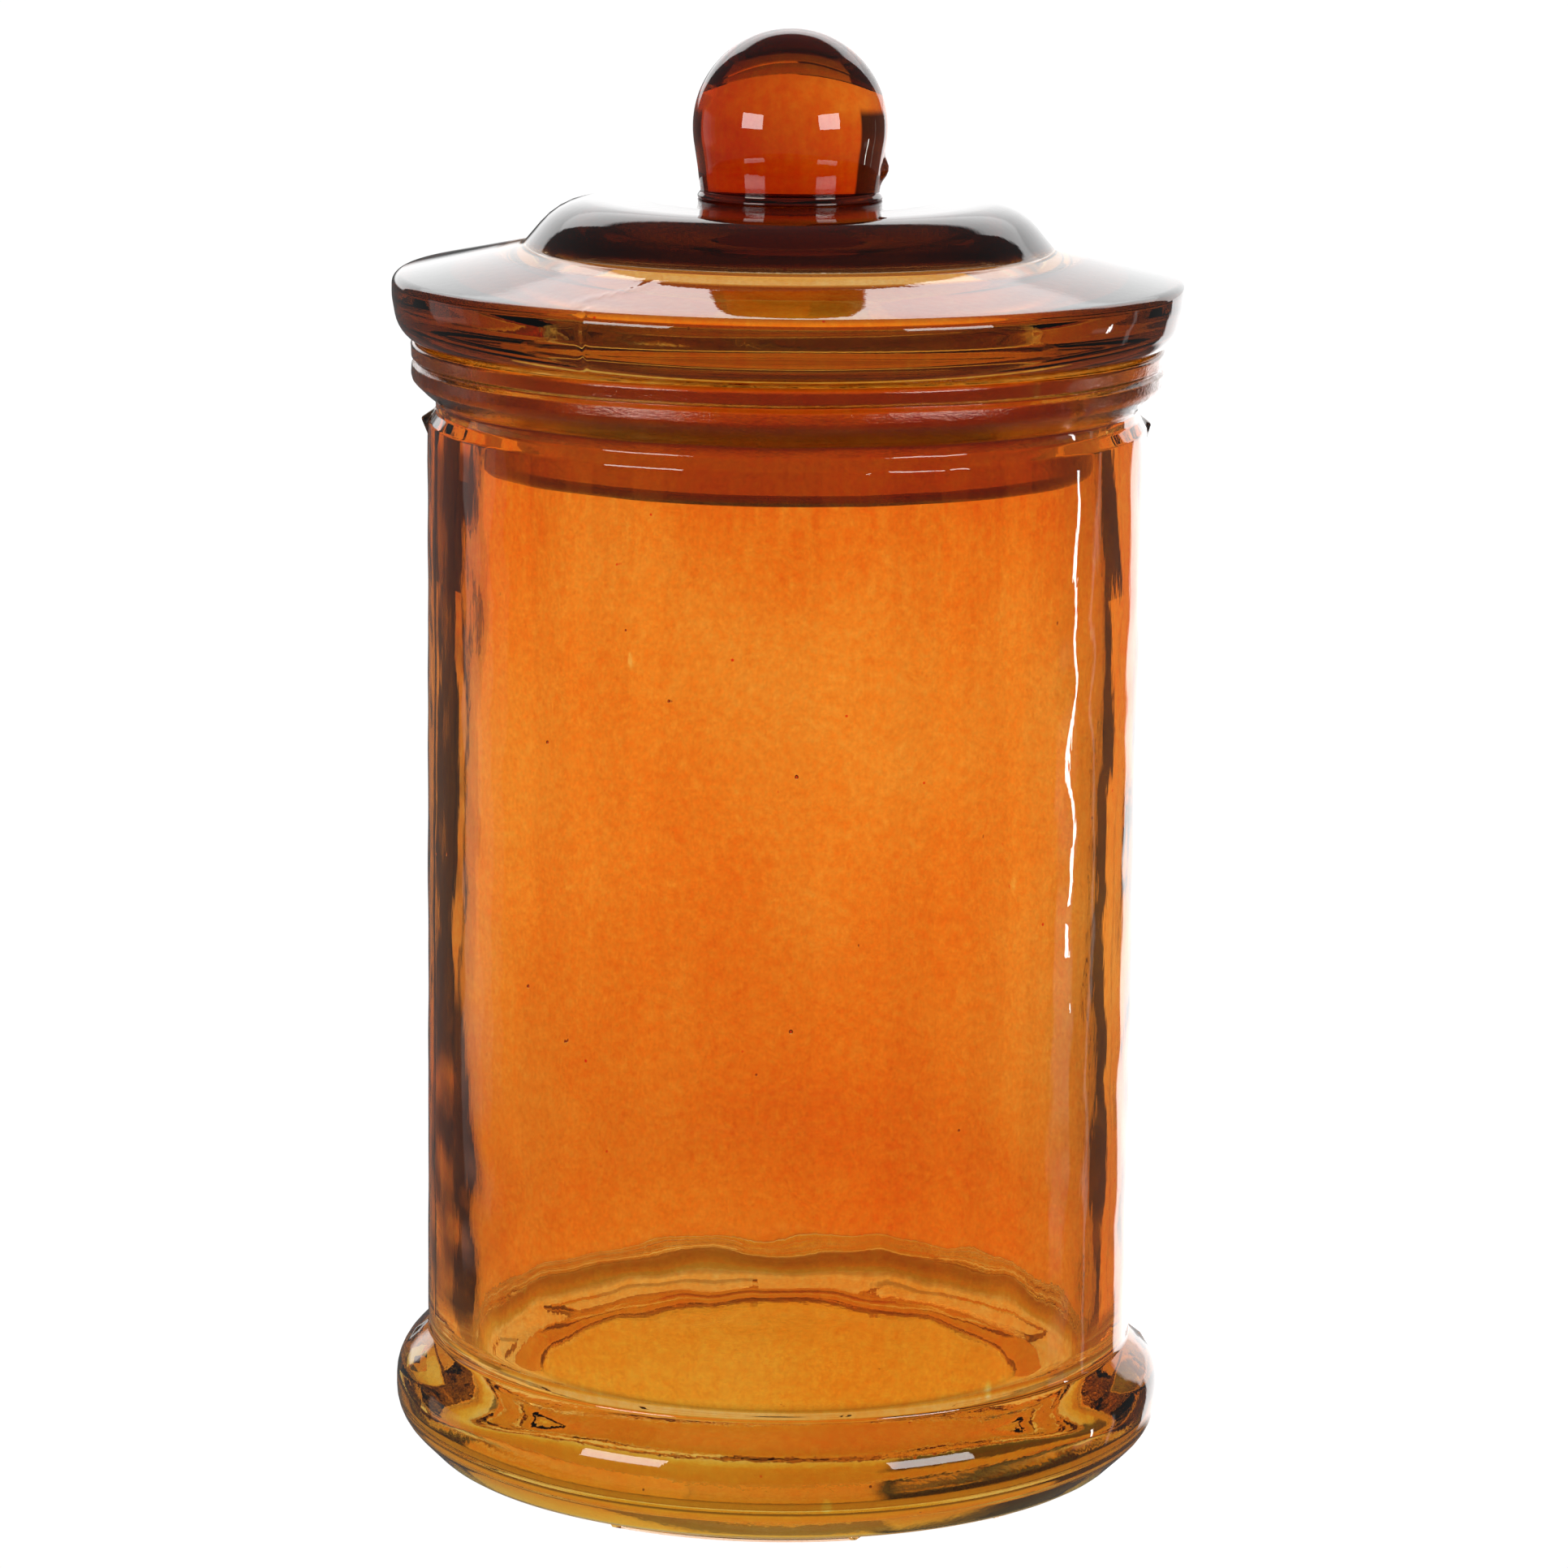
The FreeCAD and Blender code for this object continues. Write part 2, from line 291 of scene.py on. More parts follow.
def studio_world():
    """White all round for the camera. Straight through the glass shows a white sweep between black flags
    and under a dark ceiling. Light that turns once inside one wall comes from the gaps, light that wanders
    further is scattered evenly, and pale panels mirror on the surface."""
    world = bpy.data.worlds.new("studio")
    world.use_nodes = True
    bpy.context.scene.world = world
    s = Shader(world.node_tree)
    direction = s.node("ShaderNodeTexCoord").outputs["Generated"]
    axis = s.node("ShaderNodeSeparateXYZ")
    s.feed(axis.inputs[0], direction)
    azimuth = s.math("DEGREES", s.math("ARCTAN2", axis.outputs["X"], axis.outputs["Y"]))
    elevation = s.math("DEGREES", s.math("ARCSINE", axis.outputs["Z"]))

    def lit(patches, dark):
        """The brightest of the patches that cover a direction, or dark where none does."""
        shown = dark
        blur_across, blur_up = PATCH_BLUR
        for across, up, brightness in patches:
            beside = s.band(azimuth, *across, blur_across)
            inside = s.math("MULTIPLY", beside, s.band(elevation, *up, blur_up))
            shown = s.math("MAXIMUM", s.math("MULTIPLY", inside, brightness), shown)
        return shown

    straight = s.math("MULTIPLY_ADD", lit(FLAGS, 0.0), -FLAG_DEPTH, 1.0)
    for sweep in SWEEP:
        straight = s.math("MULTIPLY", straight, s.ramp(elevation, *sweep))
    side_loss = SIDE_FLAG_DEPTH * ROOM_SCATTERED
    wandered = s.math("MULTIPLY_ADD", lit(SIDE_FLAG, 0.0), -side_loss, ROOM_SCATTERED)
    path = s.node("ShaderNodeLightPath")
    guided = s.math("GREATER_THAN", path.outputs["Glossy Depth"], 0.5)
    walls = s.math("GREATER_THAN", path.outputs["Transmission Depth"], 2.5)
    turns = s.math("GREATER_THAN", path.outputs["Glossy Depth"], 1.5)
    scattered = s.math("MULTIPLY", guided, s.math("MAXIMUM", walls, turns))
    choices = (
        (guided, straight, lit(GAPS, ROOM_GUIDED)),
        (scattered, None, wandered),
        (path.outputs["Is Reflection Ray"], None, lit(PANELS, ROOM_MIRRORED)),
        (path.outputs["Is Camera Ray"], None, 1.0),
    )
    shown = None
    for which, plain, special in choices:
        mix = s.node("ShaderNodeMix", data_type="FLOAT")
        s.feed(mix.inputs[0], which)
        s.feed(mix.inputs[2], plain or shown)
        s.feed(mix.inputs[3], special)
        shown = mix.outputs[0]
    light = s.node("ShaderNodeBackground")
    s.feed(light.inputs["Color"], (1, 1, 1, 1))
    s.feed(light.inputs["Strength"], shown)
    s.feed(s.node("ShaderNodeOutputWorld").inputs["Surface"], light.outputs[0])


def floor():
    """A plain white floor that only the camera sees, so that it doesn't change the light in the glass."""
    bpy.ops.mesh.primitive_plane_add(size=FLOOR_SIZE)
    plane = bpy.context.object
    plane.name = "floor"
    plane.location.z = -FLOOR_DROP
    for ray in ("diffuse", "glossy", "transmission", "shadow", "volume_scatter"):
        setattr(plane, f"visible_{ray}", False)
    material = bpy.data.materials.new("floor_white")
    material.use_nodes = True
    s = Shader(material.node_tree)
    glow = s.node("ShaderNodeEmission")
    s.feed(glow.inputs["Strength"], FLOOR_GLOW)
    s.feed(s.node("ShaderNodeOutputMaterial").inputs["Surface"], glow.outputs[0])
    plane.data.materials.append(material)


def area_light(name, azimuth, elevation, size, radiance):
    """A lamp facing the jar's middle, seen only by mirrored rays."""
    light = bpy.data.lights.new(name, "AREA")
    light.shape = "RECTANGLE"
    light.size, light.size_y = size
    light.energy = radiance * math.pi * size[0] * size[1]
    lamp = bpy.data.objects.new(name, light)
    bpy.context.collection.objects.link(lamp)
    a, e = math.radians(azimuth), math.radians(elevation)
    way = Vector((math.sin(a) * math.cos(e), math.cos(a) * math.cos(e), math.sin(e)))
    lamp.location = JAR_MIDDLE + way * LAMP_DISTANCE
    lamp.rotation_euler = way.to_track_quat("Z", "Y").to_euler()
    lamp.visible_camera = False
    lamp.visible_transmission = False


def studio():
    """The surround, the floor and the lamps."""
    studio_world()
    floor()
    for lamp in LAMPS:
        area_light(*lamp)


# The camera: focal length in millimetres, place, and how far it looks down and leans over.
LENS = 142.4
EYE = (0, -0.7754, 0.2404)
LOOK_DOWN = 11.15
ROLL = 0.6


def camera():
    """The photograph's viewing point: in front, a little above the lid, looking slightly down."""
    lens = bpy.data.cameras.new("camera")
    lens.sensor_width = 36.0
    lens.lens = LENS
    lens.clip_start = 0.01
    eye = bpy.data.objects.new("camera", lens)
    bpy.context.collection.objects.link(eye)
    eye.location = EYE
    level = Euler((math.radians(90 - LOOK_DOWN), 0, 0)).to_matrix()
    eye.rotation_euler = (level @ Matrix.Rotation(math.radians(ROLL), 3, "Z")).to_euler()
    bpy.context.scene.camera = eye


# ---------------------------------------------------------------- turned glass


def outline(corners, span):
    """The section through (radius, height, rounding) corners, as points at most span apart."""
    points = [Vector(corner[:2]) for corner in corners]
    path = [points[0]]
    for before, corner, after, (_, _, rounding) in zip(points, points[1:], points[2:], corners[1:]):
        if not rounding:
            path.append(corner)
            continue
        back = (before - corner).normalized()
        ahead = (after - corner).normalized()
        half = back.angle(ahead) / 2
        centre = corner + (back + ahead).normalized() * (rounding / math.sin(half))
        first = corner + back * (rounding / math.tan(half)) - centre
        turn = math.pi - 2 * half
        if back.cross(ahead) > 0:
            turn = -turn
        steps = max(2, round(abs(math.degrees(turn)) / ARC_STEP))
        for step in range(steps + 1):
            path.append(centre + Matrix.Rotation(turn * step / steps, 2) @ first)
    path.append(points[-1])
    fine = [path[0]]
    for start, end in zip(path, path[1:]):
        parts = max(1, math.ceil((end - start).length / span - 0.01))
        fine += [start.lerp(end, part / parts) for part in range(1, parts + 1)]
    return fine


def azimuths(seams):
    """Even steps round the axis, with finer ones at the mould seams."""
    steps = {round(360 * turn / TURNS, 3) for turn in range(TURNS)}
    for seam in seams:
        steps |= {round(seam + 0.25 * step, 3) for step in range(-7, 8)}
    return sorted(steps)


def turned(name, section, relief, seams=()):
    """A closed surface of revolution; relief(radius, height, azimuth) gives the uneven radius and height."""
    shape = bmesh.new()
    turns = azimuths(seams)
    rings = []
    for radius, height in section:
        if radius < 1e-6:
            rings.append([shape.verts.new((0, 0, height * MM))])
            continue
        ring = []
        for azimuth in turns:
            across, up = relief(radius, height, azimuth)
            angle = math.radians(azimuth)
            place = Vector((across * math.sin(angle), across * math.cos(angle), up)) * MM
            ring.append(shape.verts.new(place))
        rings.append(ring)
    for low, high in zip(rings, rings[1:]):
        for turn in range(len(turns)):
            after = (turn + 1) % len(turns)
            if len(low) == 1:
                shape.faces.new((low[0], high[turn], high[after]))
            elif len(high) == 1:
                shape.faces.new((low[turn], high[0], low[after]))
            else:
                shape.faces.new((low[turn], high[turn], high[after], low[after]))
    bmesh.ops.recalc_face_normals(shape, faces=shape.faces)
    return finish_mesh(name, shape)


def finish_mesh(name, shape):
    """The bmesh as a smooth object."""
    mesh = bpy.data.meshes.new(name)
    shape.to_mesh(mesh)
    shape.free()
    mesh.shade_smooth()
    mesh.set_sharp_from_angle(angle=SHARP)
    piece = bpy.data.objects.new(name, mesh)
    bpy.context.collection.objects.link(piece)
    return piece


# Gas bubbles are drawn out upwards by this much.
SEED_STRETCH = 1.25


def add_seeds(piece, seeds):
    """Small gas bubbles: hollow shells that face inwards, at (radius, height, azimuth, size)."""
    shape = bmesh.new()
    shape.from_mesh(piece.data)
    for radius, height, azimuth, size in seeds:
        angle = math.radians(azimuth)
        centre = Vector((radius * math.sin(angle), radius * math.cos(angle), height)) * MM
        stretch = Matrix.Diagonal((size * MM, size * MM, size * MM * SEED_STRETCH, 1))
        place = Matrix.Translation(centre) @ stretch
        made = bmesh.ops.create_icosphere(shape, subdivisions=2, radius=1.0, matrix=place)
        faces = {face for vertex in made["verts"] for face in vertex.link_faces}
        bmesh.ops.reverse_faces(shape, faces=list(faces))
    shape.to_mesh(piece.data)
    shape.free()
    piece.data.shade_smooth()
    piece.data.set_sharp_from_angle(angle=SHARP)


def paint(piece, **films):
    """Stores a number at each vertex for each film; film(radius, height, azimuth) gives it."""
    places = [vertex.co / MM for vertex in piece.data.vertices]
    for name, film in films.items():
        layer = piece.data.attributes.new(name, "FLOAT", "POINT")
        for place, item in zip(places, layer.data):
            azimuth = math.degrees(math.atan2(place.x, place.y)) % 360
            item.value = film(math.hypot(place.x, place.y), place.z, azimuth)


def wave(azimuth, height, swell):
    """Smooth unevenness; swell is how far it reaches, how many cells go round, a cell's height and a seed."""
    reach, turns, rise, seed = swell
    angle = math.radians(azimuth)
    round_radius = turns / (2 * math.pi)
    place = (round_radius * math.cos(angle) + seed, round_radius * math.sin(angle) - seed, height / rise)
    return reach * noise.noise(Vector(place))


def pitted(azimuth, height, swell):
    """The same unevenness cut inwards, from 0 to twice its reach."""
    return swell[0] + wave(azimuth, height, swell)


def smooth(value, low, high):
    """0 below low, 1 above high, smooth between."""
    share = min(1.0, max(0.0, (value - low) / (high - low)))
    return share * share * (3 - 2 * share)


def between(value, low, high, soft):
    """1 well inside low..high and 0 outside, with soft edges."""
    return smooth(value, low - soft, low + soft) * (1 - smooth(value, high - soft, high + soft))


def angle_off(azimuth, middle):
    """The signed angle from middle to azimuth."""
    return (azimuth - middle + 180) % 360 - 180


def ridge(azimuth, seams, radius, width):
    """1 on a seam line, falling to 0 within width millimetres of it."""
    nearest = min(abs(angle_off(azimuth, seam)) for seam in seams)
    away = math.radians(nearest) * radius
    return max(0.0, 1 - away / width) ** 2


def lump(radius, height, azimuth, spot):
    """A round bump of glass: spot is its azimuth, height, reach and how far it stands proud."""
    middle, level, reach, proud = spot
    away = math.hypot(math.radians(angle_off(azimuth, middle)) * radius, height - level)
    return proud * max(0.0, 1 - (away / reach) ** 2) ** 2


# ---------------------------------------------------------------- glass

# What each full film, and the bare glass, lets through in red, green and blue.
LACQUER = (0.90, 0.225, 0.0115)
# The brown film: overspray on the vessel, and painted shade on the lid and at the knob's foot.
SMOKE_AND_SHADE = (0.40, 0.28, 0.20)
WASH = (0.82, 0.82, 0.20)
CLEAR = (0.985, 0.985, 0.97)

# Glass, and how rough and how deep its pits are.
GLASS_IOR = 1.5
PIT_ROUGHNESS = 0.06
PIT_STRENGTH = 0.35
PIT_DEPTH = 0.0002

# What the stain in the knob's joint lets through.
JOINT_STAIN = (0.62, 0.42, 0.30)


def scattered_spots(s, place, scale, core, rim, depth):
    """Scattered round spots: depth within core of each one's middle, and 0 beyond rim."""
    cells = s.node("ShaderNodeTexVoronoi")
    s.feed(cells.inputs["Vector"], place)
    s.feed(cells.inputs["Scale"], scale)
    return s.ramp(cells.outputs["Distance"], core, rim, depth, 0.0)


def lacquer_depth(s, place, drag):
    """How unevenly the lacquer lies, about 1: clouds, drag marks that grow towards the top, a fine mottle,
    dark specks and thin flecks."""
    axis = s.node("ShaderNodeSeparateXYZ")
    s.feed(axis.inputs[0], place)
    cloud = s.noise(s.scaled(place, 1, 1, 0.8), 30.0, 3.0)
    mottle = s.noise(place, 800.0, 4.0, 0.7)
    runs = s.ramp(axis.outputs["Z"], 0.104, 0.130, 0.08, 0.60)
    uneven = s.math("MULTIPLY_ADD", cloud, 1.30, 0.35)
    uneven = s.math("MULTIPLY", uneven, s.math("MULTIPLY_ADD", s.math("SUBTRACT", drag, 0.5), runs, 1.0))
    uneven = s.math("MULTIPLY", uneven, s.math("MULTIPLY_ADD", mottle, 1.00, 0.50))
    speck = scattered_spots(s, place, 150.0, 0.02, 0.035, 2.5)
    fleck = scattered_spots(s, s.scaled(place, 1, 1, 0.45), 62.0, 0.03, 0.06, -0.75)
    return s.math("MAXIMUM", s.math("ADD", s.math("ADD", uneven, fleck), speck), 0.05)


def stained(s, place, films):
    """The colour of the glass under its films, each a tint and its depth, with a fine dust."""
    dust = s.noise(s.scaled(place, 1, 1, 0.8), 1900.0, 2.0, 0.6)
    colour = s.node("ShaderNodeCombineColor")
    for channel, socket in enumerate(colour.inputs):
        tint = s.math("MULTIPLY_ADD", dust, 0.32, CLEAR[channel] - 0.17)
        for stain, depth in films:
            tint = s.math("MULTIPLY", tint, s.math("POWER", stain[channel], depth))
        s.feed(socket, tint)
    return colour.outputs[0]


def fine_relief(s, place, drag, grain):
    """Pits where there is grain, and faint drag marks all over."""
    pits = s.noise(s.scaled(place, 1, 1, 2.2), 1500.0, 3.0, 0.7)
    bump = s.node("ShaderNodeBump")
    s.feed(bump.inputs["Strength"], PIT_STRENGTH)
    s.feed(bump.inputs["Distance"], PIT_DEPTH)
    marks = s.math("MULTIPLY", drag, 0.10)
    s.feed(bump.inputs["Height"], s.math("ADD", s.math("MULTIPLY", pits, grain), marks))
    return bump.outputs[0]


def glass(name):
    """Clear glass with films on its outside: the coat film is the amber lacquer's depth, the smoke film a
    brown film, overspray on the vessel but painted shade on the lid and at the knob's foot, and the wash film
    a yellow stain. The grain film is where it is pitted."""
    material = bpy.data.materials.new(name)
    material.use_nodes = True
    s = Shader(material.node_tree)
    place = s.node("ShaderNodeTexCoord").outputs["Object"]
    film = {
        word: s.node("ShaderNodeAttribute", attribute_name=word).outputs["Fac"]
        for word in ("coat", "smoke", "wash", "grain")
    }
    drag = s.noise(s.scaled(place, 1, 1, 0.22), 900.0, 2.0)
    lacquer = s.math("MULTIPLY", film["coat"], lacquer_depth(s, place, drag))
    films = ((LACQUER, lacquer), (SMOKE_AND_SHADE, film["smoke"]), (WASH, film["wash"]))
    shine = s.node("ShaderNodeBsdfPrincipled")
    s.feed(shine.inputs["Base Color"], stained(s, place, films))
    s.feed(shine.inputs["Roughness"], s.math("MULTIPLY", film["grain"], PIT_ROUGHNESS))
    s.feed(shine.inputs["IOR"], GLASS_IOR)
    s.feed(shine.inputs["Transmission Weight"], 1.0)
    s.feed(shine.inputs["Normal"], fine_relief(s, place, drag, film["grain"]))
    s.feed(s.node("ShaderNodeOutputMaterial").inputs["Surface"], shine.outputs[0])
    return material


def fused_joint():
    """The hidden disc where the knob was fused on while hot. Glass meets glass, so light passes straight
    through a little amber stain and a few grains caught in the joint."""
    material = bpy.data.materials.new("fused_joint")
    material.use_nodes = True
    s = Shader(material.node_tree)
    place = s.node("ShaderNodeTexCoord").outputs["Object"]
    grains = s.ramp(s.noise(place, 1800.0, 2.0, 0.7), 0.62, 0.72, 1.0, 0.5)
    colour = s.node("ShaderNodeCombineColor")
    for socket, share in zip(colour.inputs, JOINT_STAIN):
        s.feed(socket, s.math("MULTIPLY", grains, share))
    open_glass = s.node("ShaderNodeBsdfTransparent")
    s.feed(open_glass.inputs["Color"], colour.outputs[0])
    s.feed(s.node("ShaderNodeOutputMaterial").inputs["Surface"], open_glass.outputs[0])
    return material


def bare(radius, height, azimuth):
    """No film at all."""
    return 0.0


def fuse(piece, joint):
    """Gives the joint's material to the faces that the lid and its knob share."""
    piece.data.materials.append(joint)
    for face in piece.data.polygons:
        middle = face.center / MM
        across = math.hypot(middle.x, middle.y)
        if CROWN_HEIGHT < middle.z < SEAT_HEIGHT + 0.01 and across < JOINT_RADIUS + 0.01:
            face.material_index = 1


def settle(piece, node, body):
    """Puts a finished piece in place of its CAD node."""
    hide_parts(node)
    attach(piece, body)


# ---------------------------------------------------------------- vessel

# Where the mould left glass standing proud, at the shoulder and on the foot: azimuth, height, reach and how
# far it stands out.
BURRS = (
    (269.0, 134.3, 1.5, 0.9),
    (89.0, 134.2, 1.4, 0.6),
    (168.5, 133.2, 1.3, 0.45),
    (171.5, 133.4, 1.0, 0.30),
    (131.0, 139.9, 1.6, 0.35),
    (156.0, 134.0, 0.9, 0.25),
)
FOOT_FINS = ((269.0, 15.4, 1.4, 0.5), (89.0, 15.4, 1.4, 0.5))


def jar_section():
    """The vessel: punt, foot, wall, neck and bead outside, then the mouth, wall and floor inside."""
    lip = (BEAD_RADIUS + MOUTH_RADIUS) / 2
    inner_pad, outer_pad = PAD_RADII
    outside = outline([
        (0, PAD_DROP + PUNT_RISE, 0),
        (PUNT_FLAT_RADIUS, PAD_DROP + PUNT_RISE, LARGE),
        (PUNT_RADIUS, PAD_DROP, EDGE),
        (inner_pad - PAD_SIDE, PAD_DROP, 0),
        (inner_pad + PAD_SIDE, PAD_DROP, 0),
        (outer_pad - PAD_SIDE, PAD_DROP, 0),
        (outer_pad + PAD_SIDE, PAD_DROP, 0),
        (FOOT_UNDERSIDE_RADIUS, PAD_DROP, CORNER),
        (FOOT_RADIUS, FOOT_LOWER_BEND, LARGE),
        (FOOT_RADIUS, FOOT_UPPER_BEND, LARGE),
        (BODY_RADIUS, FOOT_TOP, SMALL),
        (BODY_RADIUS, SHOULDER_HEIGHT - 0.2, 0.9),
        (NECK_RADIUS, SHOULDER_HEIGHT + SHOULDER_CHAMFER, SMALL),
        (NECK_RADIUS, SHOULDER_HEIGHT + NECK_RISE, SMALL),
        (BEAD_RADIUS, BEAD_BEND, EDGE),
        (BEAD_RADIUS, BEAD_GROOVE - GROOVE_HALF, FINE),
        (BEAD_RADIUS - GROOVE_DEPTH, BEAD_GROOVE, FINE / 2),
        (BEAD_RADIUS, BEAD_GROOVE + GROOVE_HALF, FINE),
        (BEAD_RADIUS, MOUTH_HEIGHT, SMALL),
        (lip, MOUTH_HEIGHT, 0),
    ], OUTSIDE_SPAN)
    inside = outline([
        (lip, MOUTH_HEIGHT, 0),
        (MOUTH_RADIUS, MOUTH_HEIGHT, SMALL),
        (MOUTH_RADIUS, MOUTH_HEIGHT - MOUTH_DEPTH, SMALL),
        (CAVITY_RADIUS, MOUTH_HEIGHT - TAPER_DEPTH, SMALL),
        (CAVITY_RADIUS, FLOOR_HEIGHT, CORNER),
        (0, FLOOR_HEIGHT - FLOOR_DIP, 0),
    ], INSIDE_SPAN)
    return [*outside, *inside[1:]]


# Unevenness of the vessel: how far it reaches, cells round the jar, height of a cell, seed.
INSIDE_SWELL = (0.30, 10, 40, 3.1)
INSIDE_RIPPLE = (0.07, 34, 14, 8.7)
FLOOR_SWELL = (0.07, 5, 14, 6.2)
BEAD_BANDS = (0.10, 10, 0.55, 1.9)
BEAD_PITS = (0.07, 150, 1.2, 4.4)
BEAD_DIP = (0.14, 14, 1, 7.7)
FOOT_SWELL = (0.05, 12, 9, 2.8)
WALL_SWELL = (0.06, 18, 30, 5.3)
WALL_RIPPLE = (0.09, 50, 6, 2.4)
SHOULDER_PITS = (0.05, 130, 1.1, 6.6)
SHOULDER_DIP = (0.12, 22, 1, 9.1)

# The mould seams: how far they stand proud of the wall, and how wide they are.
SEAM_PROUD = 0.14
SEAM_WIDTH = 0.9


def pad_share(azimuth):
    """1 within a bearing pad's span and 0 between pads."""
    pitch = 360 / PAD_COUNT
    away = abs((azimuth - PAD_AZIMUTH + pitch / 2) % pitch - pitch / 2)
    return 1 - smooth(away, PAD_SPAN / 2 - 0.5, PAD_SPAN / 2 + 0.5)


def pad_rise(radius, azimuth):
    """How far the foot's underside comes down to form the bearing pads."""
    inner, outer = PAD_RADII
    rise = smooth(radius, inner - PAD_SIDE, inner + PAD_SIDE)
    fall = 1 - smooth(radius, outer - PAD_SIDE, outer + PAD_SIDE)
    return PAD_DROP * rise * fall * pad_share(azimuth)


def inside_relief(height, azimuth):
    """How far the inside of the wall swells and ripples."""
    inside = between(height, FLOOR_HEIGHT + 8, MOUTH_HEIGHT - 21, 5)
    return inside * (wave(azimuth, height, INSIDE_SWELL) + wave(azimuth, height, INSIDE_RIPPLE))


def bead_relief(height, azimuth):
    """How far the bead is pitted inwards, and how far it rises and dips."""
    bead = between(height, BEAD_BEND - 1.0, MOUTH_HEIGHT - 0.8, 0.6)
    pits = bead * (pitted(azimuth, height, BEAD_BANDS) + pitted(azimuth, height, BEAD_PITS))
    dip = between(height, BEAD_BEND - 1.6, MOUTH_HEIGHT - 1.1, 0.8) * wave(azimuth, 0, BEAD_DIP)
    return pits, dip


def wall_relief(height, azimuth):
    """How far the outside of the wall swells and the shoulder is pitted, and how far the shoulder dips."""
    side = between(height, FOOT_TOP + 4, SHOULDER_HEIGHT - 4, 3)
    swell = side * (wave(azimuth, height, WALL_SWELL) + wave(azimuth, height, WALL_RIPPLE))
    edge = between(height, SHOULDER_HEIGHT - 1.2, SHOULDER_HEIGHT + 1.8, 0.3)
    shoulder = between(height, SHOULDER_HEIGHT - 0.5, SHOULDER_HEIGHT + 3, 0.4)
    return swell - edge * pitted(azimuth, height, SHOULDER_PITS), shoulder * wave(azimuth, 0, SHOULDER_DIP)


def mould_marks(radius, height, azimuth):
    """How far the mould's seams, burrs and fins stand proud outside."""
    wall = between(height, FOOT_TOP, SHOULDER_HEIGHT, 1.5)
    marks = sum(lump(radius, height, azimuth, spot) for spot in (*BURRS, *FOOT_FINS))
    return SEAM_PROUD * wall * ridge(azimuth, BODY_SEAMS, radius, SEAM_WIDTH) + marks


def jar_relief(radius, height, azimuth):
    """Pads under the foot, a wavy inside, mould marks outside, and a pitted bead."""
    across, up = radius, height
    if height < PAD_DROP + 0.01:
        up -= pad_rise(radius, azimuth)
    elif radius < CAVITY_RADIUS + 0.01 and height > FLOOR_HEIGHT + 2:
        across += inside_relief(height, azimuth)
    elif radius < CAVITY_RADIUS and height > FLOOR_HEIGHT - 1:
        up += smooth(radius, 1, 8) * wave(azimuth, radius, FLOOR_SWELL)
    elif radius > NECK_RADIUS + 1 and height > SHOULDER_HEIGHT + 3:
        pits, dip = bead_relief(height, azimuth)
        across -= pits
        up += dip
    elif radius > CAVITY_RADIUS and height < FOOT_TOP:
        foot = between(height, 3.5, FOOT_TOP - 0.5, 2.0)
        across -= foot * pitted(azimuth, height, FOOT_SWELL)
    elif radius > CAVITY_RADIUS:
        swell, dip = wall_relief(height, azimuth)
        across += swell
        up += dip
    if radius > NECK_RADIUS - 0.5 and PAD_DROP < height < MOUTH_HEIGHT - 1:
        across += mould_marks(radius, height, azimuth)
    return across, up


def jar_coat(radius, height, azimuth):
    """Lacquer outside, deeper at the shoulder and low on the wall; none inside and little underneath."""
    if radius < CAVITY_RADIUS + 1.0 and height > FLOOR_HEIGHT - 2:
        return 0.0
    if height < PAD_DROP + 2.5:
        return 0.30 * smooth(height, PAD_DROP + 0.3, PAD_DROP + 2.0)
    wall = 0.98 + 0.16 * smooth(height, 96, 120) + 0.16 * between(height, 28, 56, 12)
    foot = 1.0 - 0.40 * (1 - smooth(height, 3, 20))
    return wall * foot


def jar_smoke(radius, height, azimuth):
    """Overspray gathers low on the wall and at the top."""
    if radius < CAVITY_RADIUS + 1.0:
        return 0.0
    foot = 0.30 * between(height, 5, FOOT_TOP - 1, 2)
    return foot + 0.20 * between(height, 22, 60, 12) + 0.10 * smooth(height, 112, 130) + 0.05


def jar_wash(radius, height, azimuth):
    """A yellow stain in the thick glass of the foot and the base."""
    if radius < CAVITY_RADIUS and height > FLOOR_HEIGHT - 2:
        return 0.45 * (1 - smooth(height, FLOOR_HEIGHT + 0.5, FLOOR_HEIGHT + 4))
    return smooth(height, PAD_DROP + 0.2, PAD_DROP + 1.8) * (1 - smooth(height, 12, 20))


def jar_grain(radius, height, azimuth):
    """The bead is pitted; the rest is bright."""
    if radius < CAVITY_RADIUS + 2:
        return 0.0
    return between(height, BEAD_BEND - 1.4, MOUTH_HEIGHT - 0.6, 0.8)


# Gas bubbles in the wall, the floor and the foot: radius, height, azimuth, size.
JAR_SEEDS = (
    (43.0, 99.0, 221.0, 0.21),
    (42.6, 97.0, 178.0, 0.25),
    (42.4, 65.5, 178.5, 0.26),
    (43.2, 68.0, 225.0, 0.22),
    (42.0, 60.0, 184.0, 0.14),
    (43.1, 114.0, 206.0, 0.14),
    (42.8, 52.0, 150.0, 0.16),
    (42.5, 88.0, 120.0, 0.19),
    (42.9, 40.0, 95.0, 0.19),
    (42.7, 106.0, 66.0, 0.21),
    (42.2, 75.0, 41.0, 0.22),
    (43.0, 58.0, 15.0, 0.20),
    (42.6, 92.0, 338.0, 0.22),
    (42.4, 47.0, 312.0, 0.19),
    (42.9, 110.0, 290.0, 0.17),
    (42.6, 80.0, 258.0, 0.21),
    (28.0, 9.0, 179.0, 0.19),
    (29.4, 9.4, 178.4, 0.15),
    (26.6, 8.8, 178.8, 0.12),
    (15.0, 8.0, 120.0, 0.19),
    (46.6, 9.0, 166.0, 0.17),
    (46.9, 8.0, 200.0, 0.14),
)


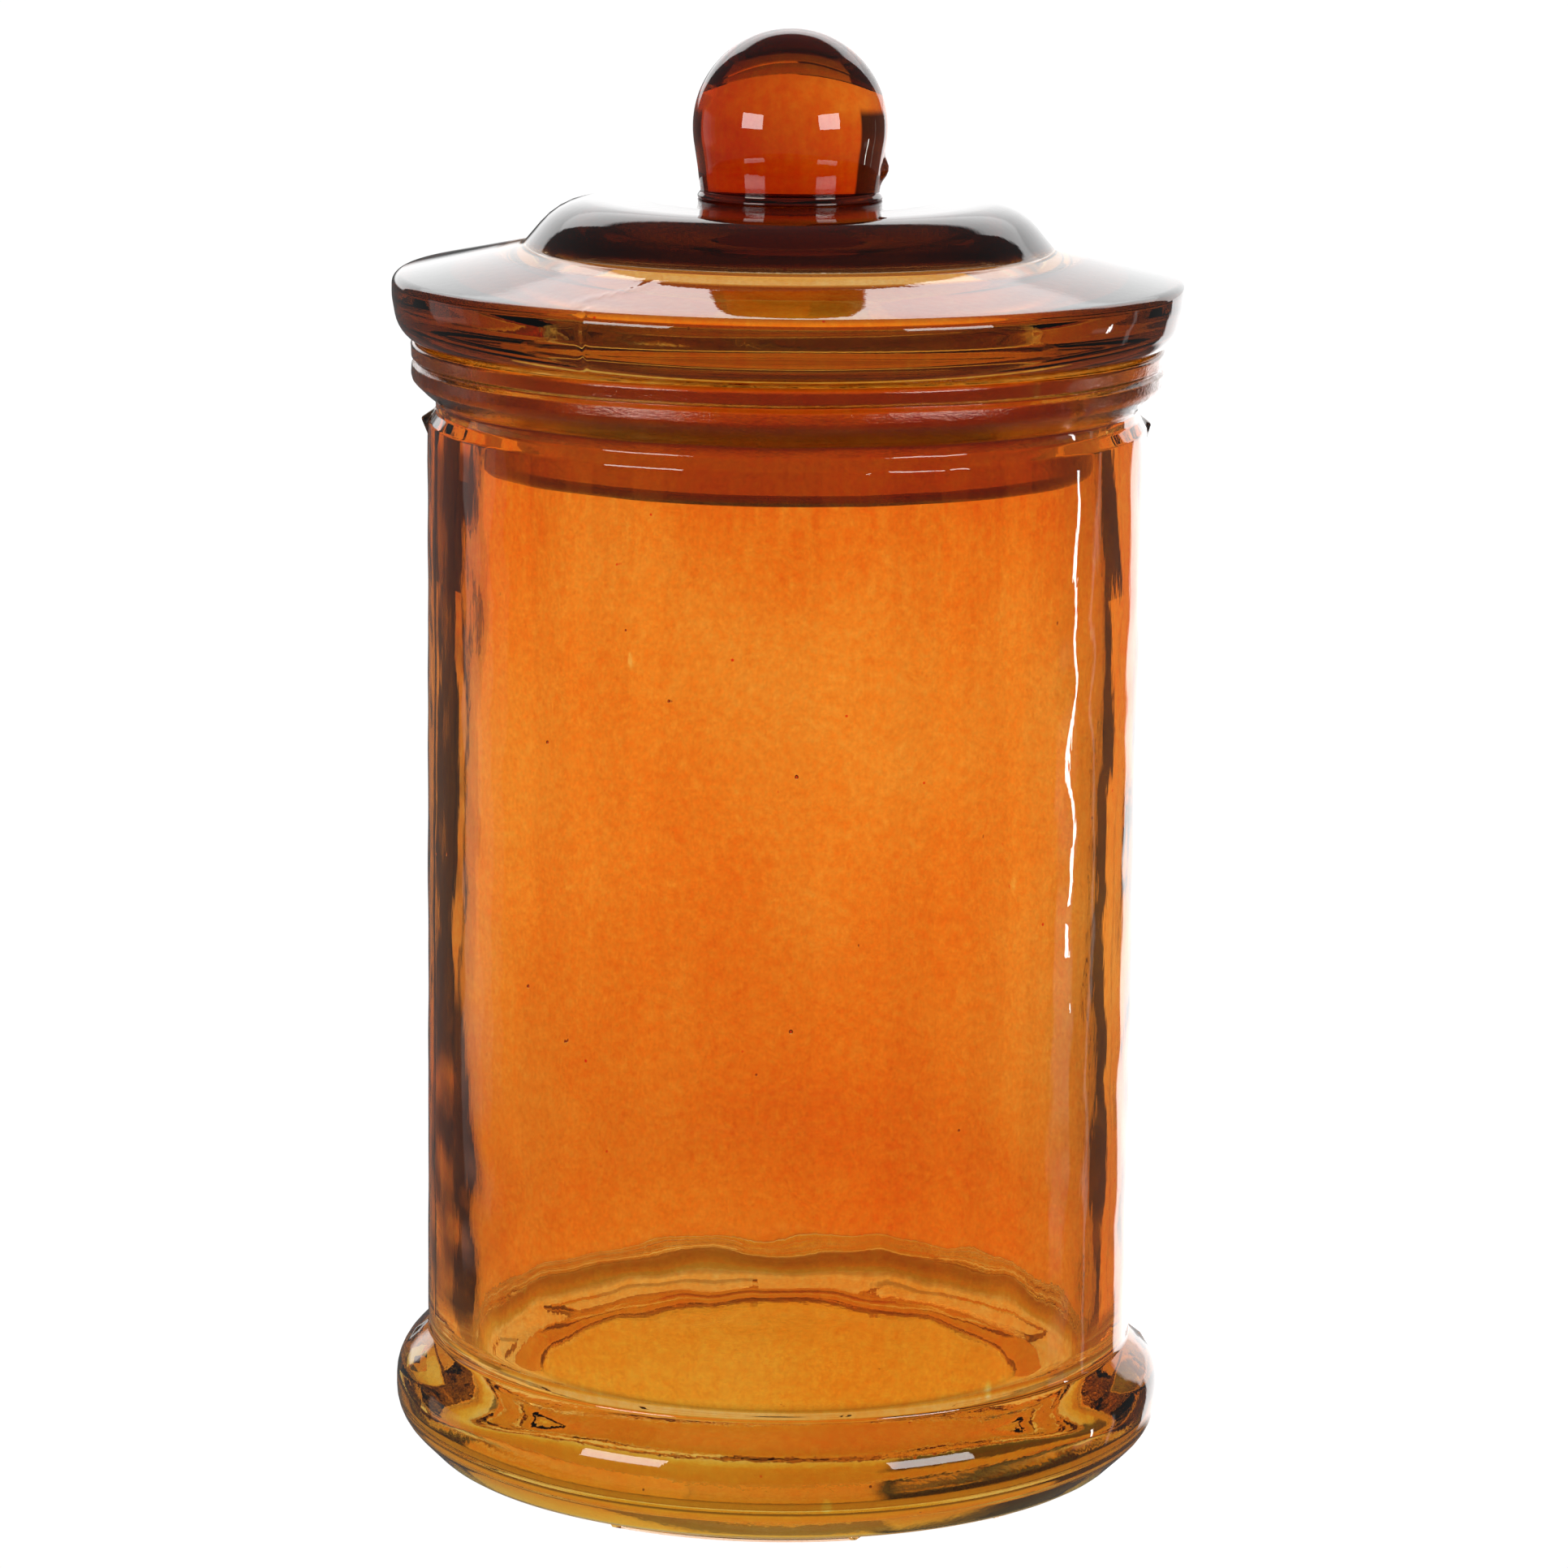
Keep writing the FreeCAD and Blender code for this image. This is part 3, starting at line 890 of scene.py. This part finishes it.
def make_jar_body():
    """The vessel in place of its CAD node."""
    piece = turned("jar_body_glass", jar_section(), jar_relief, BODY_SEAMS)
    add_seeds(piece, JAR_SEEDS)
    paint(piece, coat=jar_coat, smoke=jar_smoke, wash=jar_wash, grain=jar_grain)
    piece.data.materials.append(glass("vessel_glass"))
    settle(piece, "jar_body", "jar")


# ---------------------------------------------------------------- lid


def lid_section():
    """The lid: hollow, plug, flange and dome, ending at the knob's seat."""
    bore = PLUG_RADIUS - PLUG_TAPER - PLUG_WALL
    hollow_radius, hollow_height = HOLLOW_SHOULDER
    return outline([
        (0, HOLLOW_CEILING, 0),
        (hollow_radius, HOLLOW_CEILING, LARGE),
        (bore, hollow_height, CORNER),
        (bore, PLUG_FOOT, EDGE),
        (PLUG_RADIUS - PLUG_TAPER, PLUG_FOOT, EDGE),
        (PLUG_RADIUS, MOUTH_HEIGHT, FINE),
        (FLANGE_FOOT_RADIUS, MOUTH_HEIGHT, CORNER),
        (FLANGE_RADIUS, FLANGE_BEND, LARGE),
        (FLANGE_RADIUS, FLANGE_EDGE, EDGE),
        (*DOME_FOOT, EDGE),
        (DOME_SHOULDER_RADIUS, CROWN_HEIGHT - 0.2, DOME_ROUND),
        (JOINT_RADIUS, CROWN_HEIGHT, 0),
        (JOINT_RADIUS, SEAT_HEIGHT, 0),
        (0, SEAT_HEIGHT, 0),
    ], LID_SPAN)


# Unevenness of the lid: how far it reaches, cells round it, height of a cell, seed.
HOLLOW_SWELL = (0.20, 9, 14, 2.2)
PLUG_SWELL = (0.16, 8, 16, 5.5)
FLANGE_SWELL = (0.07, 9, 9, 1.3)
EDGE_SWELL = (0.10, 12, 40, 8.1)

# The plug's outside and the flange's edge are cut back by this much, to stay inside the CAD solid.
PLUG_CUT = 0.128
EDGE_CUT = 0.16

# The lid's parting line: how far it stands proud, how wide it is, how far it bends over the flange, and the
# step between the two mould halves.
LINE_PROUD = 0.10
LINE_WIDTH = 1.1
LINE_BEND = 3.2
HALF_STEP = 0.08


def edge_relief(height, azimuth, line):
    """How far the flange's edge is cut back; the two mould halves don't quite meet."""
    first, second = LID_SEAMS
    half = smooth(angle_off(azimuth, first), -0.6, 0.6) - smooth(angle_off(azimuth, second), -0.6, 0.6)
    return EDGE_CUT - LINE_PROUD * line + HALF_STEP * half + wave(azimuth, height, EDGE_SWELL)


def lid_relief(radius, height, azimuth):
    """A gently wavy flange and plug, and the mould's parting line over the flange and down its edge."""
    across, up = radius, height
    if radius < PLUG_RADIUS - 3 and height < HOLLOW_CEILING + 0.1:
        across += between(height, PLUG_FOOT + 3, FLANGE_BEND, 2) * wave(azimuth, height, HOLLOW_SWELL)
    elif height < MOUTH_HEIGHT and radius < PLUG_RADIUS + 0.3:
        plug = smooth(height, PLUG_FOOT, PLUG_FOOT + 3)
        across += plug * (wave(azimuth, height, PLUG_SWELL) - PLUG_CUT)
    elif radius > FLANGE_TOP_RADIUS - 3:
        edge = smooth(radius, FLANGE_RADIUS - 3, FLANGE_RADIUS - 0.5)
        outward = (radius - FLANGE_TOP_RADIUS) / (FLANGE_RADIUS - FLANGE_TOP_RADIUS)
        bent = LINE_BEND * math.sin(outward * math.tau) * (1 - edge)
        line = ridge(azimuth + bent, LID_SEAMS, radius, LINE_WIDTH)
        top = smooth(height, FLANGE_EDGE - 0.7, FLANGE_EDGE + 0.7)
        top *= between(radius, FLANGE_TOP_RADIUS, FLANGE_RADIUS + 1, 1.5)
        up += top * (LINE_PROUD * line + wave(azimuth, radius, FLANGE_SWELL) - FLANGE_SWELL[0])
        if height < FLANGE_EDGE + 0.8 and radius > PLUG_RADIUS + 2:
            across -= edge * edge_relief(height, azimuth, line)
    return across, up


def lid_coat(radius, height, azimuth):
    """Lacquer all over the outside, thinner on the plug; none inside the hollow or under the knob."""
    if radius < JOINT_RADIUS + 0.1 and height > CROWN_HEIGHT - 0.1:
        return 0.0
    if radius < PLUG_RADIUS - 2.5 and height < HOLLOW_CEILING + 0.4:
        return 0.0
    if height < MOUTH_HEIGHT + 0.3:
        return 0.40
    return 1.05


def lid_smoke(radius, height, azimuth):
    """Painted shade as a dark film: heavy on the dome, the plug and the flange's sides and back, and light on
    its front.
    """
    if lid_coat(radius, height, azimuth) == 0.0:
        return 0.0
    if height < MOUTH_HEIGHT + 0.3:
        # Painted shade on the plug inside the neck, lighter towards its top.
        return 1.75 - 0.65 * smooth(height, 133, 139)
    edge = smooth(radius, 45.0, FLANGE_RADIUS - 0.8)
    side = smooth(abs(angle_off(azimuth, 180)), 30, 58)
    # Painted shade: darker where the flange turns away from the front, and darkest over the dome.
    return 0.75 * (1 - edge) + 1.5 * side + 3.0 * (1 - smooth(radius, 33.0, 41.0))


def lid_wash(radius, height, azimuth):
    """The flange's thick edge shows a yellow stain."""
    return 0.8 * between(height, MOUTH_HEIGHT, FLANGE_EDGE - 0.2, 1.0) * smooth(radius, 42, 48)


# Where the crown is pitted, from radius to radius.
CROWN_PITS = (11.4, 18.0)


def lid_grain(radius, height, azimuth):
    """The plug is slightly dull, and the crown is pitted where the hot knob was pressed on."""
    if height < MOUTH_HEIGHT and radius > PLUG_RADIUS - 2.5:
        return 0.7
    if height > CROWN_HEIGHT - 0.5:
        return 0.9 * between(radius, *CROWN_PITS, 1.4)
    return 0.0


# Gas bubbles in the flange and the dome: radius, height, azimuth, size.
LID_SEEDS = (
    (46.0, 149.5, 160.0, 0.16),
    (44.0, 151.0, 195.0, 0.14),
    (45.0, 149.0, 40.0, 0.17),
    (38.0, 151.0, 300.0, 0.16),
    (22.0, 160.0, 130.0, 0.16),
    (20.0, 159.5, 240.0, 0.14),
)


def make_lid(joint):
    """The lid in place of its CAD node, with the knob's joint on its seat."""
    piece = turned("lid_glass", lid_section(), lid_relief, LID_SEAMS)
    add_seeds(piece, LID_SEEDS)
    paint(piece, coat=lid_coat, smoke=lid_smoke, wash=lid_wash, grain=lid_grain)
    piece.data.materials.append(glass("lid_glass"))
    fuse(piece, joint)
    settle(piece, "lid", "lid_assembly")


# ---------------------------------------------------------------- knob

# A lump of glass: azimuth, height, reach and how far it stands proud.
KNOB_LUMP = (96.0, SEAT_HEIGHT + 2.6, 2.0, 0.75)

# How far it is out of true, cells round it, height of a cell, seed.
KNOB_SWELL = (0.10, 4, 9, 3.3)


def knob_section():
    """The ball on its waist and small flared foot."""
    foot = [
        (0, SEAT_HEIGHT, 0),
        (JOINT_RADIUS, SEAT_HEIGHT, 0),
        (JOINT_RADIUS, CROWN_HEIGHT, 0),
        (KNOB_FOOT_RADIUS, CROWN_HEIGHT, 0.2),
        (KNOB_FOOT_RADIUS, CROWN_HEIGHT + 0.4, 0.25),
        (KNOB_WAIST_RADIUS, CROWN_HEIGHT + 0.9, 0.5),
    ]
    centre = BALL_TOP - BALL_RADIUS
    span = Vector(foot[-1][:2]) - Vector((0, centre))
    slope = math.atan2(span.y, span.x) + math.acos(BALL_RADIUS / span.length)
    touch = (BALL_RADIUS * math.cos(slope), centre + BALL_RADIUS * math.sin(slope))
    points = outline([*foot, (*touch, 0)], KNOB_SPAN)
    for step in range(1, BALL_STEPS):
        angle = slope + (math.pi / 2 - slope) * step / BALL_STEPS
        points.append(Vector((BALL_RADIUS * math.cos(angle), centre + BALL_RADIUS * math.sin(angle))))
    return [*points, Vector((0, BALL_TOP))]


def knob_relief(radius, height, azimuth):
    """A ball that is a little out of true, with a lump of glass low on its right."""
    if height < SEAT_HEIGHT + 0.01 and radius < JOINT_RADIUS + 0.01:
        return radius, height
    body = smooth(height, SEAT_HEIGHT + 0.5, SEAT_HEIGHT + 3) * (1 - smooth(height, BALL_TOP - 2, BALL_TOP))
    across = radius + body * (wave(azimuth, height, KNOB_SWELL) - KNOB_SWELL[0])
    across += smooth(height, SEAT_HEIGHT, SEAT_HEIGHT + 1) * lump(radius, height, azimuth, KNOB_LUMP)
    return across, height


def left_low_share(radius, height, azimuth):
    """How much deeper the films lie: 0 high on the knob's right, 1 low on its left."""
    side = math.sin(math.radians(azimuth)) * radius / BALL_RADIUS
    low = 1 - smooth(height, SEAT_HEIGHT, SEAT_HEIGHT + 16)
    return min(1.0, max(0.0, 0.65 * low + 0.30 - 0.62 * side))


def knob_joined(radius, height):
    """True on the faces fused to the lid."""
    return height < SEAT_HEIGHT + 0.05 and radius < JOINT_RADIUS + 0.05


def knob_coat(radius, height, azimuth):
    """Lacquer, deeper low and on the left, and none in the joint."""
    return 0.0 if knob_joined(radius, height) else 1.05 + 0.75 * left_low_share(radius, height, azimuth)


def knob_smoke(radius, height, azimuth):
    """A dark film: painted shade at the knob's flared foot where it meets the dome, and deeper low and on the
    left.
    """
    if knob_joined(radius, height):
        return 0.0
    foot = 1 - smooth(height, CROWN_HEIGHT + 0.6, CROWN_HEIGHT + 1.4)
    # Painted shade: the foot term darkens the knob's foot where it meets the dome.
    return 0.05 + 0.9 * left_low_share(radius, height, azimuth) + 1.5 * foot


def make_lid_knob(joint):
    """The knob in place of its CAD node, with the joint under it."""
    piece = turned("lid_knob_glass", knob_section(), knob_relief)
    paint(piece, coat=knob_coat, smoke=knob_smoke, wash=bare, grain=bare)
    piece.data.materials.append(glass("knob_glass"))
    fuse(piece, joint)
    settle(piece, "lid_knob", "lid_assembly")


def settings():
    """Plain colour management, and enough bounces for light to cross every glass wall."""
    scene = bpy.context.scene
    scene.view_settings.view_transform = "Standard"
    scene.cycles.max_bounces = 40
    scene.cycles.transmission_bounces = 40
    scene.cycles.glossy_bounces = 24
    scene.cycles.transparent_max_bounces = 32


camera()
settings()
studio()
make_jar_body()
joint_glass = fused_joint()
make_lid(joint_glass)
make_lid_knob(joint_glass)
